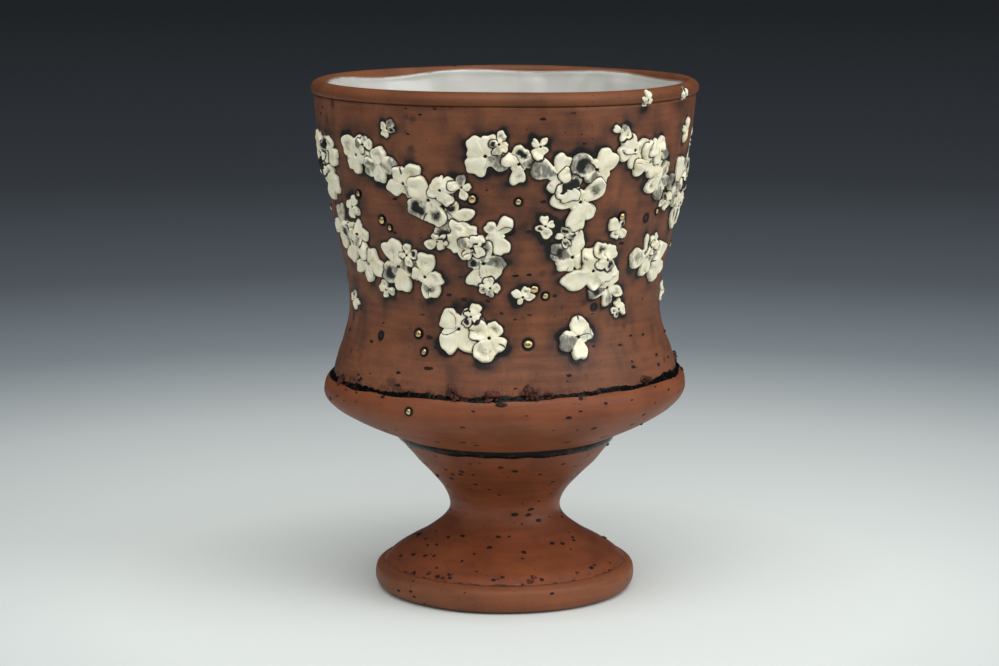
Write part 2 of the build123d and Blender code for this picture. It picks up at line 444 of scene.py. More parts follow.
@dataclass(frozen=True)
class ClayFinish:
    """Bare iron-rich clay, sponged smooth and fired brown, with iron specks and a smoky haze."""

    name: str
    light: Colour
    dark: Colour
    smoke: float = 0.0
    speck_share: float = 0.2
    blur_share: float = 0.0
    roughness: float = 0.44
    cloud_size: float = 11.0
    carries_blossoms: bool = False
    carries_beads: bool = False

    # The level of a thin, broken black line; the default is far below the foot, which leaves it out
    line_level: float = -50.0

    # On the wall: where the wiped slip starts to fade upward, and the middle and spacing of a patch of combed lines
    wipe_level: float = 56.6
    comb_across: float = 1.8
    comb_level: float = 59.6
    comb_gap: float = 0.55

    def material(self) -> bpy.types.Material:
        """The clay's shader: mottled clay, haze, specks, then what lies round blossoms and beads."""
        graph = Graph(self.name)
        place = graph.place()
        level = graph.axis(place, 2)
        grain = graph.noise(place, 0.5, 4.0)
        cloud = graph.noise(place, self.cloud_size, 3.0)
        turned = graph.noise(graph.scaled(place, (0.1, 0.1, 1.0)), 1.3, 2.0)
        tone = cloud * 0.5 + turned * 0.3 + grain * 0.2
        colour = graph.mix(self.dark, self.light, tone.rise(0.32, 0.68))
        drawn = graph.noise(graph.scaled(place, (1.0, 1.0, 0.3)), 4.2, 3.0)
        haze = drawn.rise(0.46, 0.82) * self.smoke
        colour = graph.mix(colour, SMOKE, haze)
        blurred = graph.spots(place, 5.2, 1.35, self.blur_share, 0.55)
        colour = graph.mix(colour, BLUR, blurred * 0.6)
        crowd = graph.noise(place, 9.0, 1.0).rise(0.35, 0.7) * 1.1 + 0.45
        specks = graph.spots(graph.scaled(place, (0.72, 0.72, 1.4)), 2.3, 0.62, crowd * self.speck_share, 0.09)
        stretched = graph.scaled(place, (0.62, 0.62, 1.5))
        specks = specks.larger(graph.spots(stretched, 5.4, 0.88, crowd * (0.6 * self.speck_share), 0.12))
        dust = graph.spots(place, 1.3, 0.24, crowd * 0.26, 0.05)
        colour = graph.mix(colour, SPECK, specks * (0.78 + 0.22 * grain.rise(0.3, 0.5)))
        colour = graph.mix(colour, SPECK, dust * 0.6)
        height = grain * 0.045 + turned * 0.05 + specks * 0.05
        broken = graph.noise(place, 1.6, 3.0)
        line = (level + cloud * 1.2).apart(self.line_level + 0.6)
        width = (broken - 0.46) * 1.5
        line_black = line.rise(width, width * 0.2) * broken.rise(0.47, 0.53)
        colour = graph.mix(colour, SOOT_AND_SHADE, line_black * 0.85)
        rough = self.roughness + grain * 0.16 + specks * 0.25
        if self.carries_blossoms:
            near = graph.mark("blossom_gap")
            patchy = graph.noise(place, 5.0, 1.0)
            reach = patchy.rise(0.45, 0.75) * 1.15 + broken * 0.5 + 0.05
            black = near.rise(reach + 0.75, reach - 0.2)
            fume = near.rise(5.0, 0.3) * patchy.rise(0.28, 0.68) * 0.76
            colour = graph.mix(colour, FUME, fume)
            colour = graph.mix(colour, SOOT_AND_SHADE, black * 0.94)
            torn = graph.noise(graph.scaled(place, (1.0, 1.0, 0.12)), 0.42, 2.0)
            seam = level.rise(self.wipe_level + 2.2, self.wipe_level) * broken.rise(0.36, 0.62) * torn.rise(0.34, 0.62)
            colour = graph.mix(colour, SOOT_AND_SHADE, seam * 0.85)
            combed = graph.axis(place, 0)
            teeth = graph.node("ShaderNodeMath", {"operation": "SINE"}, [combed * (TURN / self.comb_gap)])
            patch = combed.apart(self.comb_across).rise(4.4, 2.6) * level.apart(self.comb_level).rise(2.6, 1.2)
            patch = patch * graph.axis(place, 1).rise(-10.0, -20.0)
            height = height + teeth * patch * broken.rise(0.4, 0.6) * 0.03
            rough = rough - black * 0.12
        if self.carries_beads:
            pit = graph.mark("bead_gap")
            colour = graph.mix(colour, SOOT_AND_SHADE, pit.rise(0.7, 0.3) * (0.55 + 0.45 * pit.rise(-0.65, -0.25)))
        return graph.finish(colour, rough, height, Specular_IOR_Level=0.3)


@dataclass(frozen=True)
class SlipFinish:
    """Black slip, satin where it lies thick and chalky where it is thin."""

    name: str
    colour: Colour = paint(10, 10, 11)
    roughness: float = 0.14

    def material(self) -> bpy.types.Material:
        """The slip's shader."""
        graph = Graph(self.name)
        place = graph.place()
        lumps = graph.noise(place, 0.9, 4.0)
        worn = graph.noise(place, 2.4, 3.0).rise(0.54, 0.76)
        colour = graph.mix(self.colour, WORN_SLIP, worn * 0.6)
        rough = self.roughness + lumps * 0.2 + worn * 0.2
        return graph.finish(colour, rough, lumps * 0.2, Specular_IOR_Level=0.11)


@dataclass(frozen=True)
class BlossomFinish:
    """Cream clay with a black wash left in its creases, and painted shade in its hollows, at its foot and under the
    pads laid over it.
    """

    name: str = "cream_blossom_clay"
    cream: Colour = paint(241, 236, 210)
    warm: Colour = paint(232, 222, 188)

    def material(self) -> bpy.types.Material:
        """The blossoms' shader: cream clay, a grey wash by petal, and grey to black where black wash and painted shade
        gather.
        """
        graph = Graph(self.name)
        place = graph.place()
        fine = graph.noise(place, 0.55, 4.0)
        broad = graph.noise(place, 2.6, 2.0)
        scratch = graph.noise(graph.scaled(place, (1.0, 1.0, 0.45)), 0.8, 3.0)
        colour = graph.mix(self.warm, self.cream, broad.rise(0.3, 0.6))
        wash = graph.mark("wash")
        washed = (wash + (scratch - 0.5) * 1.2).rise(0.4, 1.05) * 0.85
        colour = graph.mix(colour, WASH, washed)
        # The mark holds black wash and painted shade together; it turns the cream grey and then black.
        grime = graph.mark("grime") + (fine - 0.5) * 0.55
        colour = graph.mix(colour, GREY_GRIME_AND_SHADE, grime.rise(0.22, 0.55) * 0.55)
        colour = graph.mix(colour, SOOT_AND_SHADE, grime.rise(0.42, 0.72))
        rough = 0.5 + fine * 0.15
        height = fine * 0.05 + broad * 0.08
        return graph.finish(colour, rough, height, Specular_IOR_Level=0.4)


@dataclass(frozen=True)
class LustreFinish:
    """Fired gold lustre, bright on top and brown where it meets the clay."""

    name: str = "gold_lustre_glaze"
    gold: Colour = paint(230, 200, 144)
    burnt: Colour = paint(46, 32, 20)

    def material(self) -> bpy.types.Material:
        """The beads' shader."""
        graph = Graph(self.name)
        worn = graph.noise(graph.place(), 0.5, 3.0)
        foot = graph.mark("foot")
        colour = graph.mix(self.gold, self.burnt, (foot + (worn - 0.5) * 0.4).rise(0.35, 0.75))
        return graph.finish(colour, 0.2 + worn * 0.16 + foot * 0.2, Metallic=1.0)


@dataclass(frozen=True)
class GlazeFinish:
    """Glossy white glaze, thin and brown where it breaks at its upper edge."""

    name: str = "white_inner_glaze"
    cool: Colour = paint(194, 195, 187)
    warm: Colour = paint(203, 199, 195)
    streak: Colour = paint(184, 190, 180)
    broken: Colour = paint(126, 92, 70)

    def material(self) -> bpy.types.Material:
        """The liner's shader."""
        graph = Graph(self.name)
        place = graph.place()
        broad = graph.noise(place, 14.0, 2.0)
        ticks = graph.noise(place, 3.0, 3.0)
        colour = graph.mix(self.cool, self.warm, broad.rise(0.4, 0.65))
        colour = graph.mix(colour, self.streak, ticks.rise(0.55, 0.85) * 0.6)
        thin = graph.mark("thin") + (ticks - 0.5) * 0.5
        colour = graph.mix(colour, self.broken, thin.rise(0.45, 0.85) * 0.85)
        height = ticks * 0.06 + broad * 0.2
        return graph.finish(
            colour, 0.16 + ticks * 0.1, height, Coat_Weight=0.5, Coat_Roughness=0.08, Specular_IOR_Level=0.55
        )


UPPER_CLAY = ClayFinish(
    "wall_clay", paint(133, 81, 53), paint(97, 57, 39), smoke=0.46, speck_share=0.18, blur_share=0.34,
    carries_blossoms=True, carries_beads=True,
)
LIP_CLAY = ClayFinish("lip_clay", paint(124, 73, 41), paint(102, 58, 33), smoke=0.16, speck_share=0.03)
KEEL_CLAY = ClayFinish(
    "keel_clay", paint(133, 74, 42), paint(110, 58, 33), smoke=0.14, speck_share=0.36, carries_beads=True
)
PEDESTAL_CLAY = ClayFinish(
    "pedestal_clay", paint(131, 71, 41), paint(102, 53, 31), smoke=0.22, speck_share=0.64, line_level=7.0,
    roughness=0.36,
)
FOOT_CLAY = ClayFinish("foot_clay", paint(130, 75, 45), paint(106, 59, 36), smoke=0.18, speck_share=0.2)
CRUMB_CLAY = ClayFinish(
    "crumb_clay", paint(102, 52, 36), paint(11, 9, 9), speck_share=0.8, roughness=0.55, cloud_size=0.9
)


# ---- the thrown form

@dataclass
class ThrownForm:
    """The cup's outside as it was thrown, which every piece and every applied thing shares."""

    foot_line: tuple[Corner, ...] = (
        (30.2, 0.0), (31.9, 0.45), (33.0, 2.0), (33.15, 3.9), (32.75, 5.5), (31.6, 6.5), (30.9, 6.75),
    )
    pedestal_line: tuple[Corner, ...] = (
        (30.9, 6.75), (28.6, 8.8), (25.0, 11.0), (21.5, 13.0), (18.5, 15.0), (16.1, 17.0), (14.55, 19.0),
        (14.1, 21.0), (14.45, 23.0), (15.5, 25.0), (16.9, 27.0), (18.7, 29.0), (20.7, 31.0), (22.6, 33.0),
        (24.3, 35.0), (25.9, 37.0), (27.1, 39.0), (27.5, 39.8),
    )
    keel_line: tuple[Corner, ...] = (
        (27.6, 39.8), (29.1, 40.5), (31.7, 41.6), (35.9, 43.5), (39.6, 45.5), (42.8, 47.5), (44.9, 49.5),
        (45.75, 51.1), (45.9, 52.6), (45.65, 54.1), (45.15, 55.2), (44.4, 55.95), (43.5, 56.2),
    )
    wall_line: tuple[Corner, ...] = (
        (43.5, 56.25), (43.2, 58.0), (42.5, 60.5), (41.2, 64.2), (39.8, 69.0), (39.35, 74.5), (40.1, 82.0),
        (41.95, 90.0), (43.6, 98.0), (45.0, 106.0), (46.3, 113.0), (47.2, 119.0), (47.75, 124.0), (47.9, 126.3),
    )
    lip_line: tuple[Corner, ...] = (
        (47.6, 126.5), (47.85, 126.62), (48.4, 126.95), (48.68, 127.7), (48.5, 128.6), (47.8, 129.4), (46.8, 129.85),
    )
    seam_level: float = 56.2
    seam_tilt: float = 0.85
    seam_spread: float = 10.0
    neck_level: float = 33.0
    neck_lean: float = 0.6
    neck_spread: float = 8.0
    rim_level: float = 130.0
    slope_reach: float = 0.6

    def __post_init__(self) -> None:
        """Samples the whole outside once, for looking radii up by level."""
        lines = (self.foot_line, self.pedestal_line, self.keel_line, self.wall_line, self.lip_line)
        outside = np.vstack([smooth_run(line, 200) for line in lines])
        self.levels = np.maximum.accumulate(outside[:, 1])
        self.radii = outside[:, 0]
        self.sway = Ripple(3, 0.11, (2, 4), 0.004)
        self.heave = Ripple(5, 0.12, (2, 6), 0.002)
        self.lumps = Ripple(8, 0.05, (3, 12), 0.05, 14)
        self.rings = Ripple(13, 0.035, (0, 2), 0.28, 14)

    def stray(self, angle: Array, level: Array) -> tuple[Array, Array]:
        """How far the hand strayed from true: outward and upward, nothing at the foot's flat ring."""
        share = np.clip(level / self.rim_level, 0, 1)
        near_seam = bell(level, self.seam_level, self.seam_spread)
        near_neck = bell(level, self.neck_level, self.neck_spread)
        outward = (0.25 + share) * self.sway.at(angle, level) + near_neck * self.neck_lean * np.sin(angle)
        upward = near_seam * self.seam_tilt * np.sin(angle) + share ** 2 * self.heave.at(angle, level)
        return outward, upward

    def texture(self, angle: Array, level: Array) -> Array:
        """Fine swell of the thrown face: lumps and turning rings."""
        return self.lumps.at(angle, level) + self.rings.at(angle, level)

    def turned(self, outline: Array, columns: int, outer: Array | float = 1.0) -> Array:
        """A grid of points from an outline turned about Z and then strayed by hand.

        Args:
            outline: (rows, 2) of radius and level.
            columns: How many points round.
            outer: 1 for each row on the outer face, which takes the fine swell, and 0 elsewhere.

        Returns:
            (rows, columns, 3) points in millimetres.
        """
        angle = angles_round(columns)
        radius, level = (column(part) for part in outline.T)
        outward, upward = self.stray(angle, level)
        swell = self.texture(angle, level) * np.reshape(outer, (-1, 1))
        true = np.minimum(1.0, radius / 5.0)
        return self.points(angle, radius + (outward + swell) * true, level + upward)

    @staticmethod
    def points(angle: Array, radius: Array, level: Array) -> Array:
        """Points from angle, radius and level."""
        return np.stack(np.broadcast_arrays(radius * np.sin(angle), -radius * np.cos(angle), level), axis=-1)

    def radius(self, level: Array | float) -> Array:
        """The outside's radius at a level."""
        return np.interp(level, self.levels, self.radii)

    def slope(self, level: Array | float) -> Array:
        """How fast the outside's radius grows with level."""
        reach = self.slope_reach
        return (self.radius(np.add(level, reach)) - self.radius(np.subtract(level, reach))) / (2 * reach)

    def drape(self, angle: float, level: float, across: Array, up: Array, lift: Array) -> Array:
        """Points laid on the outside round a middle.

        Args:
            angle: The middle's angle.
            level: The middle's level.
            across: Distance from the middle round the cup.
            up: Distance from the middle up the face.
            lift: Distance out from the face.

        Returns:
            The points, in the shape of across.
        """
        lean = np.arctan(self.slope(level))
        there = level + up * np.cos(lean)
        around = angle + across / self.radius(there)
        outward, upward = self.stray(around, there)
        tilt = np.arctan(self.slope(there))
        radius = self.radius(there) + outward + lift * np.cos(tilt)
        return self.points(around, radius, there + upward - lift * np.sin(tilt))


# ---- applied blossoms and beads

class Laid(Enum):
    """How a blossom lies, and how thick its clay is in millimetres."""

    ON_THE_WALL = 0.95
    OVER_OTHERS = 1.05
    FOLDED_OVER = 0.8


# Clusters: degrees from the front, share of the field's height, pattern, width, degrees of spin
CLUSTERS = [
    (-72.0, 0.80, "trio", 10.6, 10.0), (-46.0, 0.86, "pair", 9.9, 30.0), (-24.0, 0.70, "posy", 11.4, -12.0),
    (-2.0, 0.88, "pair", 10.2, 24.0), (22.0, 0.76, "trio", 12.1, 205.0), (48.0, 0.84, "posy", 10.4, 150.0),
    (74.0, 0.68, "trio", 10.8, 35.0), (-60.0, 0.48, "posy", 11.0, 95.0), (-34.0, 0.40, "pair", 11.0, -30.0),
    (-8.0, 0.50, "trio", 10.8, 120.0), (30.0, 0.40, "posy", 11.4, 62.0), (59.0, 0.42, "pair", 10.4, 200.0),
    (-12.0, 0.15, "pair", 11.4, 15.0), (26.0, 0.12, "single", 10.2, 55.0), (106.0, 0.80, "posy", 11.2, 20.0),
    (128.0, 0.50, "pair", 11.0, 170.0), (150.0, 0.84, "pair", 10.6, 65.0), (168.0, 0.48, "pair", 11.2, -40.0),
    (188.0, 0.80, "trio", 11.4, 100.0), (212.0, 0.50, "single", 10.2, 12.0), (224.0, 0.84, "pair", 10.8, 140.0),
    (246.0, 0.50, "pair", 11.0, 215.0), (262.0, 0.84, "pair", 10.4, -15.0), (120.0, 0.16, "single", 9.7, 25.0),
    (196.0, 0.18, "pair", 10.4, 85.0),
]

# Patterns: share of the width aside, share of the width up, share of the width across, petals, how it lies
PATTERNS = {
    "single": [(0.0, 0.0, 1.0, 4, Laid.ON_THE_WALL)],
    "pair": [
        (-0.30, 0.06, 1.0, 4, Laid.ON_THE_WALL), (0.48, -0.12, 0.84, 4, Laid.OVER_OTHERS),
        (0.02, 0.34, 0.46, 4, Laid.FOLDED_OVER),
    ],
    "trio": [
        (-0.44, 0.26, 0.94, 4, Laid.ON_THE_WALL), (0.40, 0.34, 0.80, 4, Laid.ON_THE_WALL),
        (0.08, -0.30, 1.0, 5, Laid.OVER_OTHERS), (-0.20, 0.05, 0.6, 4, Laid.FOLDED_OVER),
    ],
    "posy": [
        (-0.58, 0.34, 0.86, 4, Laid.ON_THE_WALL), (0.54, -0.40, 0.90, 5, Laid.ON_THE_WALL),
        (0.02, 0.02, 1.04, 4, Laid.OVER_OTHERS), (0.34, 0.26, 0.62, 4, Laid.FOLDED_OVER),
    ],
}

# Beads: degrees from the front, share of the field's height, share of the bead's radius
BEADS = [
    (-84.0, 0.60, 1.0), (-53.0, 0.70, 0.8), (-43.0, 0.60, 1.1), (-40.0, 0.57, 0.7), (-10.0, 0.71, 1.1),
    (4.0, 0.70, 0.8), (10.0, 0.33, 1.1), (14.0, 0.30, 0.8), (40.0, 0.62, 1.0), (58.0, 0.62, 0.7),
    (-32.0, 0.13, 1.0), (-29.0, 0.06, 0.8), (8.0, 0.10, 1.2), (84.0, 0.44, 1.0), (112.0, 0.60, 0.9),
    (146.0, 0.60, 1.1), (181.0, 0.30, 1.0), (208.0, 0.70, 0.9), (230.0, 0.62, 1.0), (268.0, 0.60, 0.8),
]

# Craters that lost their bead: degrees from the front, share of the field's height, share of the bead's radius
CRATERS = [
    (-20.0, 0.60, 1.0), (1.5, 0.58, 0.8), (52.0, 0.60, 0.9), (-50.0, 0.10, 0.8), (33.0, 0.24, 0.7), (174.0, 0.3, 1.0),
]

# Buds between the clusters, the last three on the lip: degrees, share of the field's height, width, petals, spin
BUDS = [
    (-57.0, 0.64, 5.2, 4, 20.0), (-13.0, 0.76, 5.0, 4, 40.0), (10.0, 0.93, 4.8, 4, 10.0), (12.5, 0.60, 5.0, 4, 65.0),
    (36.0, 0.98, 4.6, 4, 30.0), (39.0, 0.57, 5.5, 4, 0.0), (62.0, 0.66, 4.8, 5, 15.0), (-46.0, 0.30, 4.8, 4, 50.0),
    (-22.0, 0.53, 5.0, 4, 75.0), (6.0, 0.30, 5.2, 4, 25.0), (19.0, 0.55, 4.3, 4, 45.0), (44.0, 0.22, 5.2, 5, 5.0),
    (-70.0, 0.22, 5.0, 4, 35.0), (92.0, 0.60, 5.2, 4, 60.0), (138.0, 0.72, 5.0, 4, 12.0), (158.0, 0.26, 5.2, 4, 33.0),
    (176.0, 0.66, 4.8, 4, 70.0), (204.0, 0.92, 5.0, 4, 22.0), (236.0, 0.26, 5.2, 5, 41.0), (252.0, 0.68, 5.0, 4, 8.0),
    (-36.0, 0.99, 4.8, 4, 15.0), (-5.0, 0.34, 4.8, 4, 52.0), (70.0, 0.95, 5.0, 4, 27.0), (82.0, 0.24, 5.2, 4, 18.0),
    (44.0, 1.104, 3.1, 4, 20.0), (64.0, 1.106, 3.3, 4, 50.0), (154.0, 1.104, 3.2, 4, 5.0),
]


class Blossom:
    """One applied pad of clay, cut as a blossom and pressed on, in its own flat coordinates."""

    OUTLINE_POINTS = 360
    HALF_SHARE = 0.55
    BUD_WIDTH = 6.0
    OUTLINE_WAVES = ((2, 0.06), (3, 0.06), (5, 0.055), (9, 0.042), (14, 0.022))
    SMOOTHING = 2.6
    SMOOTHING_REACH = 9
    GAP_REACH = 6.0
    EDGE_WIDTH = 0.6
    SUNK = -0.3

    # Rows from the middle outward, in millimetres from the middle and in from the outline
    PRICKS = (0.0, 0.12, 0.24, 0.34, 0.42, 0.52)
    INSETS = (0.6, 0.45, 0.32, 0.21, 0.12, 0.05, 0.0)

    # Rows down the side: share of the edge's height, bulge past the outline and painted shade, which darkens the side
    # towards the wall
    SIDE = ((0.78, 0.05, 0.45), (0.5, 0.08, 0.7), (0.22, 0.06, 1.0), (0.0, 0.02, 1.0))

    def __init__(
        self, form: ThrownForm, angle: float, level: float, width: float, petals: int, spin: float, laid: Laid,
        seed: int,
    ) -> None:
        """Draws the blossom's petals.

        Args:
            form: The thrown form that it lies on.
            angle: Its middle's angle, in radians.
            level: Its middle's level.
            width: Its width across.
            petals: How many petals it has.
            spin: Degrees that it is turned in its own plane.
            laid: How it lies, which gives its thickness.
            seed: Seed of the random draw.
        """
        draw = np.random.default_rng(seed)

        def each(low: float, high: float) -> Array:
            """A random number for each petal."""
            return draw.uniform(low, high, petals)

        self.form, self.angle, self.level, self.width = form, angle, level, width
        count = np.arange(petals)
        half = self.HALF_SHARE * width
        self.thickness = laid.value * min(1.0, 0.45 + width / 16) * draw.uniform(0.92, 1.08)
        self.centres = np.radians(spin + (count + 0.5) * 360 / petals + each(-15, 15))
        self.halves = math.pi / petals * each(0.76, 1.14)
        tips = half * (1 + 0.09 * np.sin(2.4 * count + spin) + each(-0.2, 0.14))
        shallow, deep = (0.5, 0.34) if width > self.BUD_WIDTH else (0.34, 0.2)
        valley = half * draw.uniform(deep, shallow)
        notches = np.where(draw.random(petals) < 0.3, each(0.05, 0.14), 0.0)
        fullness = each(0.36, 0.6)
        bluntness = each(1.3, 3.2)
        self.cups = np.where(draw.random(petals) < 0.55, each(0.18, 0.55), 0.03)
        self.curls = each(-0.2, 0.26)
        self.washes = np.where(draw.random(petals) < 0.28, each(0.4, 1.0), each(0, 0.3))
        self.hole = 0.0 if draw.random() < 0.15 else min(0.46, 0.2 + width * 0.026)
        self.waves = draw.uniform(0, TURN, len(self.OUTLINE_WAVES))
        first = draw.uniform(0, TURN)
        second = first + draw.uniform(1.2, 2.0)
        self.folds = [
            (turn, draw.uniform(-0.24, 0.24) * width, draw.uniform(0.25, 0.62) * min(1.0, width / 9))
            for turn in (first, second)
        ]
        self.turns = np.linspace(0, TURN, self.OUTLINE_POINTS + 1)
        place = wrapped(self.turns[:-1, None] - self.centres)
        skewed = self.halves * (1 + each(-0.3, 0.3) * np.sign(place))
        place = np.clip(np.abs(place) / skewed, 0, 1)
        lobes = (1 - place ** bluntness) ** fullness * (1 - notches * bell(place, 0.0, 0.3))
        outline = valley + ((tips - valley) * lobes).max(axis=1)
        for (waves, size), start in zip(self.OUTLINE_WAVES, self.waves):
            outline *= 1 + size * np.cos(waves * self.turns[:-1] + start)
        reach = self.SMOOTHING_REACH
        kernel = bell(np.arange(-reach, reach + 1), 0, self.SMOOTHING)
        closed = np.concatenate([outline[-reach:], outline, outline[:reach]])
        outline = np.convolve(closed, kernel / kernel.sum(), "valid")
        self.outline = np.append(outline, outline[0])
        steepness = np.gradient(self.outline, self.turns) / self.outline
        self.facing = 1 / np.sqrt(1 + steepness ** 2)
        self.base = 0.0

    def reach(self, turn: Array) -> Array:
        """The outline's distance from the middle in each direction."""
        return np.interp(turn % TURN, self.turns, self.outline)

    def inset(self, turn: Array, out: Array) -> Array:
        """How far a point is inside the outline, below zero outside it."""
        return (self.reach(turn) - out) * np.interp(turn % TURN, self.turns, self.facing)

    def gap(self, angle: Array, level: Array) -> Array:
        """Distance of points on the wall from the outline, below zero inside it and FAR where it isn't near.

        It is the least distance to every third point of the outline.
        """
        turn, out = self.seen_from(angle, level)
        gap = np.full(out.shape, FAR)
        close = out < self.outline.max() + self.GAP_REACH
        rim = self.outline[:-1:3, None] * directions(self.turns[:-1:3])
        here = out[close][:, None] * directions(turn[close])
        least = np.sqrt(((here[:, None] - rim[None]) ** 2).sum(axis=-1).min(axis=1))
        gap[close] = np.where(self.inset(turn[close], out[close]) > 0, -least, least)
        return gap

    def seen_from(self, angle: Array, level: Array) -> tuple[Array, Array]:
        """Direction and distance of points on the wall, measured from this blossom's middle."""
        across = wrapped(angle - self.angle) * self.form.radius(level)
        up = (level - self.level) / math.cos(math.atan(float(self.form.slope(self.level))))
        return np.arctan2(up, across) % TURN, np.hypot(across, up)

    def folded(self, turn: Array, out: Array) -> tuple[Array, Array]:
        """How far two wavy folds raise or lower the face, and the black line along each."""
        raised, lines = np.zeros_like(out), np.zeros_like(out)
        for (fold_turn, place, rise), start in zip(self.folds, self.waves):
            along, across = out * np.cos(turn - fold_turn), out * np.sin(turn - fold_turn)
            fold = across - place + 0.08 * self.width * np.sin(8 * along / self.width + start)
            drawn = soft(np.cos(5 * along / self.width + 2 * start), -0.1, 0.5)
            raised = raised + rise * drawn * (soft(fold, -0.18, 0.26) - 0.5) * bell(fold, 0.0, 1.6)
            lines = np.maximum(lines, 1.7 * rise * drawn * bell(fold, -0.1, 0.19))
        return raised, lines

    def face(self, turn: Array, out: Array) -> tuple[Array, Array, Array]:
        """The pad's upper face.

        The height is the thickness times a quarter round at the edge, plus each petal's curl towards its tip and the
        folds, less a spoon-shaped hollow in each petal, a crease between petals and the prick hole in the middle.

        Args:
            turn: Directions from the middle.
            out: Distances from the middle.

        Returns:
            Height above what it lies on, the black wash and painted shade that gather there, and the wash of its
            petal.
        """
        gaps = wrapped(turn[..., None] - self.centres) / self.halves
        nearest = np.abs(gaps).argmin(axis=-1)
        side = np.abs(np.take_along_axis(gaps, nearest[..., None], axis=-1)[..., 0])
        flank = np.clip(side, 0, 1)
        share, inset = out / self.reach(turn), self.inset(turn, out)
        rounding = np.sqrt(1 - (1 - np.clip(inset / self.EDGE_WIDTH, 0, 1)) ** 2)
        crease = soft(side, 0.6, 1.05) * soft(share, 0.1, 0.5)
        hollow = self.cups[nearest] * (1 - flank ** 2) * bell(share, 0.62, 0.24)
        tip = self.curls[nearest] * soft(share, 0.35, 1.0)
        drift = 0.07 * np.cos(1.4 * out * np.cos(turn) + self.waves[2])
        drift = drift + 0.07 * np.cos(1.7 * out * np.sin(turn) + self.waves[3])
        pricked = 1 - soft(out, self.hole * 0.72, self.hole * 1.12) if self.hole else np.zeros_like(out)
        raised, lines = self.folded(turn, out)
        height = self.thickness * (0.35 + 0.65 * rounding)
        height = height + (tip + drift + raised - hollow - 0.16 * crease) * rounding
        height = height - 0.62 * self.thickness * pricked
        # Black wash with painted shade: darker in the prick hole, the creases between petals, the hollows, along the
        # rim and along the folds.
        rim = 1 - soft(inset, 0.0, 0.22)
        filled = 2.0 * hollow * (0.42 + self.washes[nearest])
        grime = np.maximum.reduce([pricked, 0.2 * crease, filled, 0.34 * rim, lines])
        return height, grime, self.washes[nearest] * (1 - flank ** 4)

    def support(self, angle: Array, level: Array) -> Array:
        """How high this pad holds up one that is laid over it, easing off past its outline."""
        turn, out = self.seen_from(angle, level)
        return (self.base + self.thickness) * soft(self.inset(turn, out), -0.8, 0.9)

    def lay(self, skin: Skin, under: list["Blossom"], over: list["Blossom"], columns: int) -> None:
        """Adds the pad to a skin, draped over the pads laid before it.

        Args:
            skin: Takes the pad as one closed shell.
            under: The pads laid before it.
            over: The pads laid after it, whose edges leave a painted shadow line on it.
            columns: Points round its outline.
        """
        turn = angles_round(columns)
        reach = self.reach(turn)
        small = min(1.0, self.width / 8)
        inner = np.broadcast_to(column(self.PRICKS) * small, (len(self.PRICKS), columns))
        outer = reach - column(self.INSETS) * small
        out = np.vstack([inner, inner[-1] + (outer[0] - inner[-1]) * np.linspace(0, 1, 11)[1:-1, None], outer])
        turns = np.broadcast_to(turn, out.shape)
        height, grime, wash = self.face(turns, out)
        around = self.angle + out * np.cos(turns) / float(self.form.radius(self.level))
        levels = self.level + out * np.sin(turns)
        base = np.zeros_like(out)
        for lower in under:
            base = np.maximum(base, 0.8 * lower.support(around, levels))
        self.base = float(base.mean())
        # Painted shadow: a dark line on this pad along the edge of each pad laid over it.
        for upper in over:
            grime = np.maximum(grime, 0.95 * bell(np.maximum(upper.gap(around, levels), 0), 0.0, 0.42))
        lift = base + height
        falls, bulges, grimes = (column(part) for part in zip(*self.SIDE))
        side = reach + bulges
        out = np.vstack([out, side, side[-1:] * 0.6, np.zeros((1, columns))])
        lift = np.vstack([lift, falls * lift[-1] + self.SUNK * (1 - falls), np.full((2, columns), self.SUNK)])
        # Painted shade: the side darkens towards its foot, and the rows under the pad are black.
        grime = np.vstack([grime, np.broadcast_to(grimes, side.shape), np.ones((2, columns))])
        wash = np.vstack([wash, np.repeat(wash[-1:], len(out) - len(wash), axis=0)])
        grid = self.form.drape(self.angle, self.level, out * np.cos(turn), out * np.sin(turn), lift)
        skin.bag(grid, grime=grime, wash=wash)


